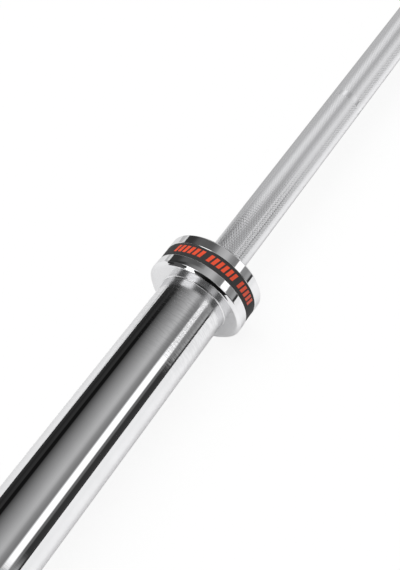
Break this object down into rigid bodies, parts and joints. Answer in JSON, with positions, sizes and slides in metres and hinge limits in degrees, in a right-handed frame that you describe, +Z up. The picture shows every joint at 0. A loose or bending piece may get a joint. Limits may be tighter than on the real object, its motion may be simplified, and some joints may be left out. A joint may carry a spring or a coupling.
{
  "type": "barbell",
  "caption": "Weightlifting barbell: knurled steel grip shaft with free-spinning polished plate sleeves on needle bearings, each behind a round collar with a rubber band.",
  "frame": {"origin": "middle of the bar, on its axis", "axes": "+X along the bar towards the right-hand sleeve, +Z up, the sleeves turn about X"},
  "size_m": [2.2, 0.075, 0.075],
  "materials": {
    "satin_chrome": "satin hard chrome over diamond knurling",
    "polished_chrome": "mirror-polished chrome",
    "band_rubber": "smooth moulded rubber, satin, with orange printed bars",
    "seal_rubber": "moulded rubber",
    "bronze": "turned oil-filled bronze",
    "bearing_steel": "ground bearing steel",
    "cage_steel": "pressed steel, dull",
    "spring_steel": "phosphated spring steel",
    "cap_aluminium": "turned aluminium with fine concentric marks"
  },
  "bodies": {
    "shaft": {"shaft": "satin_chrome", "left_inner_thrust_washer": "bronze", "left_outer_thrust_washer": "bronze", "left_shaft_ring": "spring_steel", "right_inner_thrust_washer": "bronze", "right_outer_thrust_washer": "bronze", "right_shaft_ring": "spring_steel"},
    "left_sleeve": {"left_collar": "polished_chrome", "left_collar_band": "band_rubber", "left_sleeve": "polished_chrome", "left_dust_seal": "seal_rubber", "left_bush": "bronze", "left_inner_bearing_cup": "bearing_steel", "left_outer_bearing_cup": "bearing_steel", "left_end_cap": "cap_aluminium", "left_mouth_ring": "spring_steel"},
    "left_inner_cage": {"left_inner_needle_cage": "cage_steel", "left_inner_needle_rollers": "bearing_steel"},
    "left_outer_cage": {"left_outer_needle_cage": "cage_steel", "left_outer_needle_rollers": "bearing_steel"},
    "right_sleeve": {"right_collar": "polished_chrome", "right_collar_band": "band_rubber", "right_sleeve": "polished_chrome", "right_dust_seal": "seal_rubber", "right_bush": "bronze", "right_inner_bearing_cup": "bearing_steel", "right_outer_bearing_cup": "bearing_steel", "right_end_cap": "cap_aluminium", "right_mouth_ring": "spring_steel"},
    "right_inner_cage": {"right_inner_needle_cage": "cage_steel", "right_inner_needle_rollers": "bearing_steel"},
    "right_outer_cage": {"right_outer_needle_cage": "cage_steel", "right_outer_needle_rollers": "bearing_steel"}
  },
  "joints": [
    {"name": "left_sleeve_spin", "type": "hinge", "parent": "shaft", "child": "left_sleeve", "pos_m": [-0.684, 0, 0], "axis": [1, 0, 0], "continuous": true},
    {"name": "left_inner_cage_spin", "type": "hinge", "parent": "shaft", "child": "left_inner_cage", "pos_m": [-0.6938, 0, 0], "axis": [1, 0, 0], "continuous": true},
    {"name": "left_outer_cage_spin", "type": "hinge", "parent": "shaft", "child": "left_outer_cage", "pos_m": [-1.066, 0, 0], "axis": [1, 0, 0], "continuous": true},
    {"name": "right_sleeve_spin", "type": "hinge", "parent": "shaft", "child": "right_sleeve", "pos_m": [0.684, 0, 0], "axis": [1, 0, 0], "continuous": true},
    {"name": "right_inner_cage_spin", "type": "hinge", "parent": "shaft", "child": "right_inner_cage", "pos_m": [0.6938, 0, 0], "axis": [1, 0, 0], "continuous": true},
    {"name": "right_outer_cage_spin", "type": "hinge", "parent": "shaft", "child": "right_outer_cage", "pos_m": [1.066, 0, 0], "axis": [1, 0, 0], "continuous": true}
  ],
  "couplings": [
    {"joint": "left_inner_cage_spin", "follows": "left_sleeve_spin", "ratio": 0.54536},
    {"joint": "left_outer_cage_spin", "follows": "left_sleeve_spin", "ratio": 0.54536},
    {"joint": "right_inner_cage_spin", "follows": "right_sleeve_spin", "ratio": 0.54536},
    {"joint": "right_outer_cage_spin", "follows": "right_sleeve_spin", "ratio": 0.54536}
  ]
}
